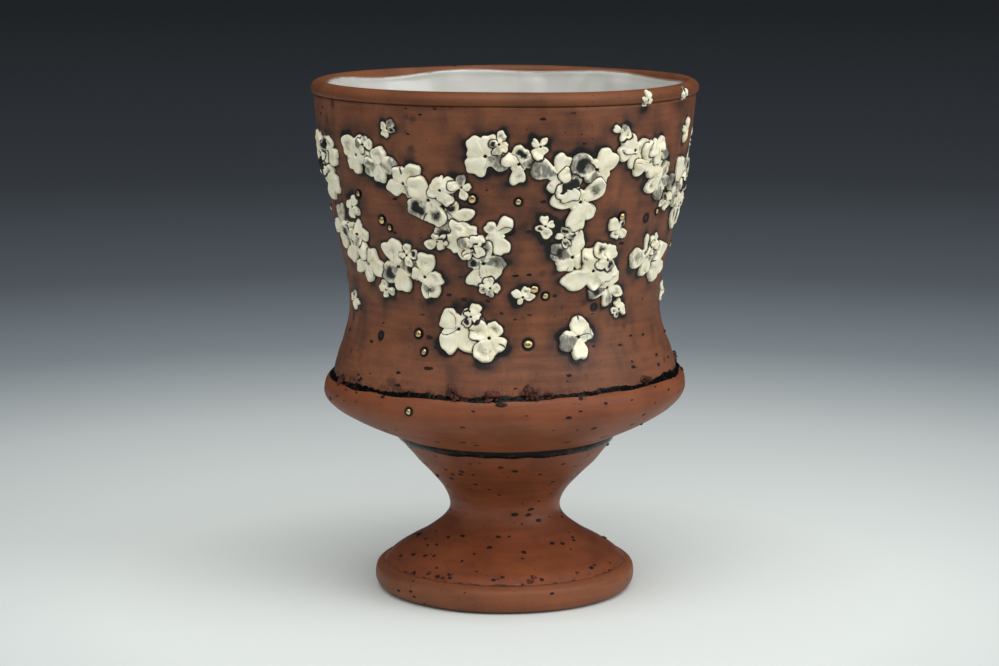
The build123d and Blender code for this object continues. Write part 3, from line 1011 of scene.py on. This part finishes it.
@dataclass
class Field:
    """The field of the wall that carries blossoms, buds and beads."""

    form: ThrownForm
    foot: float = 63.0
    top: float = 121.4
    wall_top_radius: float = 47.9
    bead_radius: float = 1.0
    keel_bead: Triple = (-30.5, 52.8, 0.8)
    cluster_columns: int = 120
    bud_columns: int = 72
    seeds_for_cluster: int = 100
    first_bud_seed: int = 9000

    def __post_init__(self) -> None:
        """Works every blossom out, in the order in which they are laid."""
        self.clusters = [
            [self.blossom(cluster, laid, seed) for seed, laid in enumerate(PATTERNS[cluster[2]], first)]
            for first, cluster in zip(itertools.count(0, self.seeds_for_cluster), CLUSTERS)
        ]
        self.buds = [
            Blossom(self.form, math.radians(turn), self.level(share), width, petals, spin, Laid.ON_THE_WALL, seed)
            for seed, (turn, share, width, petals, spin) in enumerate(BUDS, self.first_bud_seed)
        ]
        self.laid = [blossom for cluster in self.clusters for blossom in cluster] + self.buds

    def level(self, share: float) -> float:
        """The level at a share of the field's height."""
        return self.foot + share * (self.top - self.foot)

    def blossom(self, cluster: tuple, petalled: tuple, seed: int) -> Blossom:
        """One blossom of a cluster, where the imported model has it."""
        degrees, share, _, width, spin = cluster
        aside, up, across, petals, laid = petalled
        angle = math.radians(degrees) + aside * width / self.wall_top_radius
        level = self.level(share) + up * width
        return Blossom(self.form, angle, level, width * across, petals, spin * (1 + aside), laid, seed)

    def rounds(self, table: Sequence[Triple]) -> list[Triple]:
        """Each bead's or crater's angle, level and radius."""
        return [(math.radians(turn), self.level(share), self.bead_radius * size) for turn, share, size in table]

    def beads(self) -> list[Triple]:
        """Each bead's angle, level and radius, the one on the keel last."""
        degrees, level, size = self.keel_bead
        return self.rounds(BEADS) + [(math.radians(degrees), level, size * self.bead_radius)]

    def blossom_gap(self, angle: Array, level: Array) -> Array:
        """Distance of points on the wall from the nearest blossom's outline."""
        gap = np.full(np.broadcast(angle, level).shape, FAR)
        for blossom in self.laid:
            gap = np.minimum(gap, blossom.gap(angle, level))
        return gap

    def bead_gap(self, angle: Array, level: Array) -> Array:
        """Distance of points on the wall from the nearest bead's or crater's outline."""
        gap = np.full(np.broadcast(angle, level).shape, FAR)
        for middle, height, radius in self.beads() + self.rounds(CRATERS):
            gap = np.minimum(gap, np.hypot(wrapped(angle - middle) * self.form.radius(level), level - height) - radius)
        return gap

    def build(self) -> None:
        """Builds each cluster, the buds and the beads."""
        clay = BlossomFinish().material()
        for number, cluster in enumerate(self.clusters, start=1):
            laid = self.lay(cluster, self.cluster_columns)
            laid.settle(f"blossoms_{number:02d}", clay, "blossom_clay", f"blossom_cluster_{number:02d}")
        self.lay(self.buds, self.bud_columns).settle("small_buds", clay, "blossom_clay")
        skin = Skin()
        for angle, level, radius in self.beads():
            self.lay_bead(skin, angle, level, radius)
        skin.settle("gold_beads", LustreFinish().material(), "gold_lustre", "lustre_beads")

    def lay(self, blossoms: list[Blossom], columns: int) -> Skin:
        """Some blossoms in one skin, each over those laid before it and under those laid after it."""
        skin = Skin()
        for blossom in blossoms:
            order = self.laid.index(blossom)
            under, over = (self.near(blossom, others) for others in (self.laid[:order], self.laid[order + 1:]))
            blossom.lay(skin, under, over, columns)
        return skin

    def near(self, blossom: Blossom, others: list[Blossom]) -> list[Blossom]:
        """Those of some blossoms that may touch one."""
        def close(other: Blossom) -> bool:
            """Whether two blossoms' circles meet."""
            around = wrapped(other.angle - blossom.angle) * self.wall_top_radius
            return math.hypot(around, other.level - blossom.level) < 0.6 * (other.width + blossom.width) + 1.0
        return [other for other in others if close(other)]

    def lay_bead(self, skin: Skin, angle: float, level: float, radius: float) -> None:
        """Adds one bead: a drop whose side is a little steeper than a half ball's, sunk in the wall."""
        turn, rise = angles_round(28), np.linspace(0, math.pi, 15)[:, None]
        out = 0.88 * radius * np.sin(rise) ** 0.9 * (1 + 0.05 * np.cos(2 * turn + level))
        lift = radius * (0.52 * np.cos(rise) + 0.02)
        skin.bag(
            self.form.drape(angle, level, out * np.cos(turn), out * np.sin(turn), lift + 0 * turn),
            foot=soft(rise, 0.7, 1.5) * np.ones_like(turn),
        )


# ---- turned pieces

class TurnedPiece:
    """A thrown clay piece: a closed outline turned about Z, whose outer rows take the fine swell and the marks.

    Attributes:
        name: The piece's name.
        node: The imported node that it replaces.
        finish: Its clay.
        runs: The outline's smooth runs, each with how many points it has.
        columns: How many points it has round.
        outer_rows: The outline's rows on the outer face.
        reads: The distances, from the field's beads and blossoms, that its finish reads.
        closes_on_axis: Whether the outline starts and ends on the axis.
    """

    name: str
    node: str
    finish: ClayFinish
    runs: tuple[tuple[Sequence[Corner], int], ...]
    columns: int = 420
    outer_rows: slice = slice(None)
    reads: tuple[str, ...] = ()
    closes_on_axis: bool = False

    def __init__(self, form: ThrownForm, decoration: Field) -> None:
        """Keeps what the piece is thrown to and what lies on it."""
        self.form = form
        self.decoration = decoration

    def work(self, grid: Array, outline: Array, marks: dict[str, Array]) -> None:
        """Works the turned grid over in place."""

    def build(self) -> None:
        """Turns the outline, works it over and settles the piece."""
        outline = section(*self.runs)
        if self.closes_on_axis:
            outline = np.vstack([outline, self.runs[-1][0][-1:]])
        outer = np.zeros((len(outline), 1))
        outer[self.outer_rows] = 1
        angle, level = angles_round(self.columns), column(outline[:, 1])
        gaps = {name: getattr(self.decoration, name)(angle, level) for name in self.reads}
        marks = {name: np.where(outer > 0, gap, FAR) for name, gap in gaps.items()}
        grid = self.form.turned(outline, self.columns, outer)
        self.work(grid, outline, marks)
        skin = Skin().bag(grid, **marks) if self.closes_on_axis else Skin().ring(grid, **marks)
        skin.settle(self.name, self.finish.material(), "terracotta", self.node)


class FootBand(TurnedPiece):
    """The coil rolled round the pedestal's rim: across the ring ground flat, round the roll and down the inside."""

    name, node, finish = "foot_coil", "foot_band", FOOT_CLAY
    outer_rows = slice(6, 36)
    runs = (
        ([(27.4, 0.0), (30.2, 0.0)], 5),
        (ThrownForm.foot_line, 36),
        ([(30.9, 6.75), (27.4, 6.7)], 4),
        ([(27.4, 6.7), (27.4, 0.0)], 5),
    )

    def work(self, grid: Array, outline: Array, marks: dict[str, Array]) -> None:
        """Grinds the ring flat: no point of it strays from the table."""
        grid[..., 2] *= soft(column(outline[:, 1]), 0.0, 0.4)


class Pedestal(TurnedPiece):
    """The trumpet foot with its waisted stem, open inside: up the outside and down the bore."""

    name, node, finish = "pedestal_shell", "pedestal", PEDESTAL_CLAY
    outer_rows = slice(2, 92)
    runs = (
        (ThrownForm.pedestal_line, 96),
        ([(27.5, 39.8), (22.2, 39.8)], 3),
        ([(22.2, 39.8), (15.0, 30.0), (9.9, 22.6), (9.9, 17.7), (14.0, 14.4), (27.4, 6.72)], 30),
        ([(27.4, 6.72), (30.9, 6.72)], 3),
    )


class KeelBowl(TurnedPiece):
    """The bowl that the wall stands in: from its underside's middle round the keel and into the cavity."""

    name, node, finish = "keel_shell", "keel_bowl", KEEL_CLAY
    columns = 520
    outer_rows = slice(10, 72)
    reads = ("bead_gap",)
    closes_on_axis = True
    runs = (
        ([(0.0, 39.8), (27.6, 39.8)], 10),
        (ThrownForm.keel_line, 70),
        ([(43.5, 56.2), (43.5, 53.4)], 5),
        ([(43.5, 53.4), (36.7, 53.4)], 4),
        ([(36.7, 53.4), (25.0, 44.4)], 8),
        ([(25.0, 44.4), (0.0, 44.4)], 8),
    )


class CupWall(TurnedPiece):
    """The waisted wall: up the outside to the groove under the lip, and down inside to its tongue in the bowl."""

    name, node, finish = "wall_shell", "cup_wall", UPPER_CLAY
    columns = 600
    outer_rows = slice(0, 133)
    reads = ("bead_gap", "blossom_gap")
    pit_depth = 0.28
    runs = (
        (ThrownForm.wall_line, 134),
        ([(47.9, 126.3), (47.7, 126.5), (46.5, 126.5)], 4),
        ([(46.5, 126.5), (45.0, 126.5)], 3),
        ([(45.0, 126.5), (36.5, 78.5)], 9),
        ([(36.5, 78.5), (36.7, 53.4)], 5),
        ([(36.7, 53.4), (43.4, 53.4)], 4),
        ([(43.4, 53.4), (43.4, 56.1), (43.5, 56.25)], 4),
    )

    def work(self, grid: Array, outline: Array, marks: dict[str, Array]) -> None:
        """Sinks a pit with a raised rim under each bead."""
        gap = marks["bead_gap"]
        sunk = self.pit_depth * (bell(gap, 0.1, 0.4) - 0.6 * bell(gap, 0.75, 0.32))
        grid[..., :2] *= 1 - (sunk / column(outline[:, 0]))[..., None]


class LipBand(TurnedPiece):
    """The rolled coil on the wall's top edge: a full round outside and over the top, and a straight inner side."""

    name, node, finish = "lip_coil", "lip_band", LIP_CLAY
    columns = 480
    inner_line = ((45.9, 129.75), (45.3, 129.2), (45.05, 128.5), (45.0, 127.6), (45.0, 126.5))
    runs = (
        ([(45.2, 126.5), (47.6, 126.5)], 5),
        (ThrownForm.lip_line + inner_line, 46),
        ([(45.0, 126.5), (45.2, 126.5)], 2),
    )


@dataclass
class WhiteLiner:
    """The white glaze inside, a coat with soft finger dents that ends in a wavering edge below the rim."""

    form: ThrownForm
    columns: int = 420
    coat: float = 0.35
    floor_level: float = 44.42
    edge_level: float = 128.8
    edge_radius: float = 45.02
    waver: float = 0.42
    waver_from: float = 122.0
    dent_depth: float = 0.85
    dents_from: tuple[float, float] = (60.0, 100.0)
    dents_to: float = 125.5

    # How far the lip's inner side stands back at some levels, which the coat's edge follows
    lip_levels: tuple[float, ...] = (128.4, 129.2, 129.75)
    lip_offsets: tuple[float, ...] = (0.0, 0.26, 0.86)

    def outline(self) -> tuple[Array, int]:
        """The coat's outline from the axis up its own face and down the clay, and how many rows its face has."""
        edge, wet = (self.edge_radius, self.edge_level), self.floor_level + self.coat
        clay = [edge, (44.95, 126.0), (41.95, 108.9), (36.6, 80.0), (36.6, 76.0), (36.7, 53.5)]
        corner = [(36.7, 53.5), (35.2, 52.2), (26.2, 45.3), (25.0, self.floor_level)]
        back = section((clay, 36), (corner, 12), ([corner[-1], (0.0, self.floor_level)], 8))
        bowl = [
            (0.0, wet), (22.0, wet), (25.5, 45.6), (30.0, 48.95), (33.8, 52.3), (35.6, 55.6), (36.1, 61.0),
            (36.15, 76.0),
        ]
        rising = [(36.15, 76.0), (36.2, 80.0), (41.55, 108.9), (44.5, 125.0), (44.65, self.edge_level - 0.5)]
        turned_in = [(44.65, self.edge_level - 0.5), (44.8, self.edge_level - 0.08), edge]
        front = section((bowl, 60), (rising, 110), (turned_in, 7))
        return np.vstack([front[1:], [edge], back, front[:1]]), len(front)

    def build(self) -> None:
        """Turns the coat as a closed shell, presses the dents into its face and lets its edge waver."""
        outline, face_rows = self.outline()
        angle = angles_round(self.columns)
        radius, level = (column(part) for part in outline.T)
        grid = self.form.turned(outline, self.columns, 0.0)
        on_face = np.arange(len(outline))[:, None] < face_rows
        dents = Ripple(21, 1.0, (5, 13), 0.012, 8).at(angle, level)
        dents = dents + 0.5 * Ripple(22, 1.0, (14, 26), 0.03, 6).at(angle, level)
        between = soft(level, *self.dents_from) * soft(-level, -self.edge_level + 0.1, -self.dents_to)
        pressed = on_face * self.dent_depth * soft(dents, -0.4, 1.8) * between
        grid[..., :2] *= 1 - (pressed / np.maximum(radius, 1.0))[..., None]
        edge_wave = Ripple(23, self.waver, (2, 9), 0.0, 7).at(angle, level)
        grid[..., 2] += soft(level, self.waver_from, self.edge_level) * edge_wave
        rounded = np.interp(grid[..., 2], self.lip_levels, self.lip_offsets) * (radius > 40)
        grid[..., :2] *= 1 + (rounded / np.maximum(radius, 1.0))[..., None]
        thin = soft(level, self.edge_level - 1.1, self.edge_level + 0.1) * np.ones_like(angle)
        Skin().bag(grid, thin=thin).settle("white_liner", GlazeFinish().material(), "white_glaze")


# ---- slip in the seams, burrs and crumbs

@dataclass
class SeamSlip:
    """Black slip in both seams: torn upward over the keel, smooth under the bowl."""

    form: ThrownForm
    columns: int = 1500
    foot_level: float = 39.15
    foot_radius: float = 27.0

    # The fillet over the keel: share of its rise or its run from the seam, and share of its swell outward
    fillet: tuple[Corner, ...] = (
        (-0.9, -0.1), (-0.55, 0.12), (-0.2, 0.75), (0.12, 1.0), (0.4, 0.85), (0.7, 0.5), (0.92, 0.25), (1.0, -0.05),
        (0.9, -0.8),
    )

    # The clay's radius at levels round the seam, where the collar and the wall meet
    seam_levels: tuple[float, ...] = (53.5, 54.2, 55.0, 55.6, 56.0, 56.3, 56.8)
    seam_radii: tuple[float, ...] = (45.8, 45.62, 45.25, 44.8, 44.35, 43.8, 43.42)
    hidden_side: tuple[Corner, ...] = ((42.9, 56.8), (42.9, 55.8))

    def build(self) -> None:
        """Builds both rings."""
        finish = SlipFinish("black_seam_slip").material()
        self.keel_ring().settle("keel_slip", finish, "black_slip", "keel_seam_slip")
        self.foot_ring().settle("foot_slip", finish, "black_slip", "foot_seam_slip")

    def keel_ring(self) -> Skin:
        """The slip over the keel: a low fillet, torn by short waves above and run down in long ones below."""
        angle = angles_round(self.columns)
        slow, quick, fine, runs = (
            Ripple(seed, 1.0, turns, 0.0, count).at(angle, 0.0)
            for seed, turns, count in ((31, (3, 16), 10), (32, (30, 120), 14), (33, (120, 420), 16), (34, (4, 24), 10))
        )
        tall = np.clip(0.66 + 0.3 * slow + 0.18 * quick + 0.08 * fine, 0.22, 2.2)
        low = np.clip(0.56 + 0.5 * runs - 0.05 * quick, 0.14, 2.0)
        swell = 0.24 + 0.08 * quick + 0.05 * fine
        up, out = (column(part) for part in zip(*self.fillet))
        level = self.form.seam_level + np.where(up > 0, up * tall, up * low)
        collar = np.interp(level, self.seam_levels, self.seam_radii)
        radius = np.where(level < self.seam_levels[-1], collar, self.form.radius(level)) + out * swell
        outward, upward = self.form.stray(angle, level)
        grid = self.form.points(angle, radius + outward, level + upward)
        return Skin().ring(np.vstack([grid, self.form.turned(np.array(self.hidden_side), self.columns, 0.0)]))

    def foot_ring(self) -> Skin:
        """The slip under the bowl: a smooth cord of slip whose middle wanders a little up and down."""
        angle = angles_round(self.columns // 2)
        wander = Ripple(41, 0.16, (2, 9), 0.0, 8).at(angle, 0.0)
        thick = 1 + Ripple(42, 0.12, (3, 24), 0.0, 12).at(angle, 0.0)
        turn = angles_round(18).T
        level = self.foot_level + wander + 1.15 * thick * np.sin(turn)
        radius = self.foot_radius + 0.6 * thick * np.cos(turn) + 0.6 * np.sin(turn)
        outward, upward = self.form.stray(angle, level)
        return Skin().ring(self.form.points(angle, radius + outward, level + upward))


@dataclass
class Crumbs:
    """Small torn bits of clay that stuck to the outside, and burrs along the keel's seam."""

    form: ThrownForm
    burr_depth: float = 1.7
    burr_growth: float = 1.15
    crumb_flatness: float = 0.8
    first_burr_seed: int = 500
    first_crumb_seed: int = 600

    # Burrs: degrees from the front, level, half width and half height
    burrs: tuple[tuple[float, float, float, float], ...] = (
        (-17.0, 57.4, 1.1, 1.5), (-15.2, 56.4, 0.8, 0.9), (-4.6, 57.1, 1.5, 1.0), (-2.6, 56.6, 0.9, 0.8),
        (7.2, 57.5, 1.3, 1.4), (9.4, 56.8, 1.0, 1.0), (14.0, 56.7, 0.9, 0.7), (52.0, 57.0, 1.2, 0.9),
        (98.0, 57.1, 1.2, 1.1), (131.0, 56.8, 1.0, 0.9), (163.0, 57.3, 1.3, 1.2), (205.0, 56.8, 1.0, 0.8),
        (241.0, 57.2, 1.3, 1.2), (292.0, 56.9, 1.0, 0.9),
    )

    # Crumbs: degrees from the front, level and half width
    crumbs: tuple[Triple, ...] = (
        (-88.0, 12.6, 0.8), (86.0, 55.4, 0.7), (84.0, 66.0, 0.55), (80.0, 37.2, 0.65), (12.0, 7.6, 0.8),
        (14.5, 8.4, 0.6), (-40.0, 8.0, 0.6), (-31.0, 7.6, 0.5), (38.0, 8.2, 0.5), (52.0, 8.8, 0.45), (8.0, 21.0, 0.4),
        (-62.0, 30.0, 0.5), (104.0, 10.0, 0.7), (150.0, 12.0, 0.6), (170.0, 34.0, 0.5), (215.0, 9.0, 0.7),
        (250.0, 52.0, 0.5), (190.0, 48.0, 0.5), (60.0, 45.2, 0.45), (-20.0, 12.5, 0.4), (125.0, 67.0, 0.5),
    )

    def build(self) -> None:
        """Builds the burrs and the crumbs, each a lumpy pebble sunk by half."""
        skin = Skin()
        for seed, (degrees, level, wide, tall) in enumerate(self.burrs, self.first_burr_seed):
            sizes = (self.burr_growth * wide, self.burr_growth * tall, self.burr_depth)
            self.pebble(skin, math.radians(degrees), level, sizes, seed)
        for seed, (degrees, level, size) in enumerate(self.crumbs, self.first_crumb_seed):
            low = self.crumb_flatness * size
            self.pebble(skin, math.radians(degrees), level, (size, low, low), seed)
        skin.settle("clay_crumbs", CRUMB_CLAY.material(), "terracotta")

    def pebble(self, skin: Skin, angle: float, level: float, sizes: Triple, seed: int) -> None:
        """Adds a pebble: a ball of three half widths, its radius varied by a few waves over its face."""
        draw = np.random.default_rng(seed)
        turn, rise = angles_round(36), np.linspace(0, math.pi, 22)[:, None]
        across, up, out = np.sin(rise) * np.cos(turn), np.sin(rise) * np.sin(turn), np.cos(rise) + 0 * turn
        lumps = 1.0
        for wave in range(14):
            axis, start = draw.normal(size=3) * (2.0 + 0.25 * wave), draw.uniform(0, TURN)
            lumps = lumps + 0.08 * np.cos(axis[0] * across + axis[1] * up + axis[2] * out + start)
        wide, tall, deep = sizes
        skin.bag(self.form.drape(angle, level, wide * across * lumps, tall * up * lumps, deep * out * lumps * 0.8))


# ---- studio

@dataclass(frozen=True)
class Softbox:
    """A flat, even white lamp that faces the cup."""

    name: str
    place: Triple
    width: float
    height: float
    power: float
    aim: Triple = (0.0, 0.0, 0.065)

    def build(self) -> None:
        """Adds the lamp."""
        lamp = bpy.data.lights.new(self.name, "AREA")
        lamp.shape = "RECTANGLE"
        lamp.size, lamp.size_y = self.width, self.height
        lamp.energy = self.power
        turn = (Vector(self.aim) - Vector(self.place)).to_track_quat("-Z", "Y").to_euler()
        added(self.name, lamp, self.place, turn)


@dataclass
class Studio:
    """A pale floor whose colour darkens with distance as painted light falloff, soft lamps and the camera."""

    floor_radius: float = 9.0
    floor_level: float = -0.0002
    floor_depth: float = 0.02
    falloff_reach: float = 3.2
    air_light: Colour = (0.47, 0.48, 0.49)
    backdrop: Colour = paint(30, 35, 42)
    focal_length: float = 100.72
    sensor_width: float = 36.0
    camera_place: Triple = (-0.00133, -0.7018, 0.1816)
    camera_dip: float = 9.424
    softboxes: tuple[Softbox, ...] = (
        Softbox("overhead_softbox", (0.08, -0.45, 0.95), 1.1, 0.8, 7.2),
        Softbox("right_softbox", (0.95, -0.35, 0.5), 0.7, 0.9, 4.7),
        Softbox("left_softbox", (-0.95, -0.45, 0.5), 0.6, 0.9, 1.1),
        Softbox("front_softbox", (0.15, -1.3, 0.75), 1.2, 0.8, 1.6),
    )

    # The floor's painted light falloff: share of its reach, under a square root, and the colour there
    painted_falloff: tuple[tuple[float, Colour], ...] = (
        (0.0, paint(224, 228, 224)), (0.18, paint(217, 222, 218)), (0.27, paint(183, 188, 187)),
        (0.34, paint(128, 136, 141)), (0.42, paint(88, 95, 102)), (0.55, paint(64, 70, 77)), (1.0, paint(50, 55, 59)),
    )

    def build(self) -> None:
        """Sets the floor, the world, the lamps and the camera."""
        self.floor()
        self.world()
        for softbox in self.softboxes:
            softbox.build()
        self.camera()

    def floor(self) -> None:
        """A wide round floor, pale by the cup and darker towards its edge: painted light falloff in its colour."""
        radii = column((0.0, 0.3, 1.0, 3.0, self.floor_radius))
        rows = ThrownForm.points(angles_round(96), radii, np.array(self.floor_level))
        under = rows[::-1] - np.array([0.0, 0.0, self.floor_depth])
        floor = Skin().bag(np.vstack([rows, under]) / MM).piece("studio_floor")
        graph = Graph("studio_floor_painted_falloff")
        metres = graph.node("ShaderNodeTexCoord", output=3)
        away = graph.node("ShaderNodeVectorMath", {"operation": "LENGTH"}, [metres], output=1)
        # Painted light falloff: the floor's colour darkens with distance from the middle.
        shade = graph.node("ShaderNodeValToRGB", {"stops": self.painted_falloff}, [(away * (1 / self.falloff_reach)) ** 0.5])
        floor.data.materials.append(graph.finish(shade, 0.85, Specular_IOR_Level=0.1))

    def world(self) -> None:
        """An even pale light, which the camera and mirrors see as a dark backdrop."""
        graph = Graph("studio_air", "worlds")
        camera, mirror, glass = (
            graph.node("ShaderNodeLightPath", output=f"Is {kind} Ray") for kind in ("Camera", "Glossy", "Transmission")
        )
        colour = graph.mix(self.air_light, self.backdrop, camera.larger(mirror).larger(glass))
        air = graph.node("ShaderNodeBackground", given={"Color": colour})
        graph.node("ShaderNodeOutputWorld", given={"Surface": air})
        bpy.context.scene.world = graph.owner

    def camera(self) -> None:
        """The camera, at the photograph's place and angle."""
        lens = bpy.data.cameras.new("camera")
        lens.lens = self.focal_length
        lens.sensor_width = self.sensor_width
        lens.sensor_fit = "HORIZONTAL"
        turn = (math.radians(90 - self.camera_dip), 0.0, 0.0)
        bpy.context.scene.camera = added("camera", lens, self.camera_place, turn)


def main() -> None:
    """Builds the studio and the cup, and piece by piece."""
    logging.basicConfig(level=logging.INFO, format="%(name)s: %(message)s")
    Studio().build()
    form = ThrownForm()
    decoration = Field(form)
    thrown = [kind(form, decoration) for kind in (FootBand, Pedestal, KeelBowl, CupWall, LipBand)]
    for part in (*thrown, WhiteLiner(form), SeamSlip(form), Crumbs(form), decoration):
        part.build()
        log.info("%s built", type(part).__name__)
    bpy.context.scene.view_settings.view_transform = "Standard"


if __name__ == "__main__":
    main()
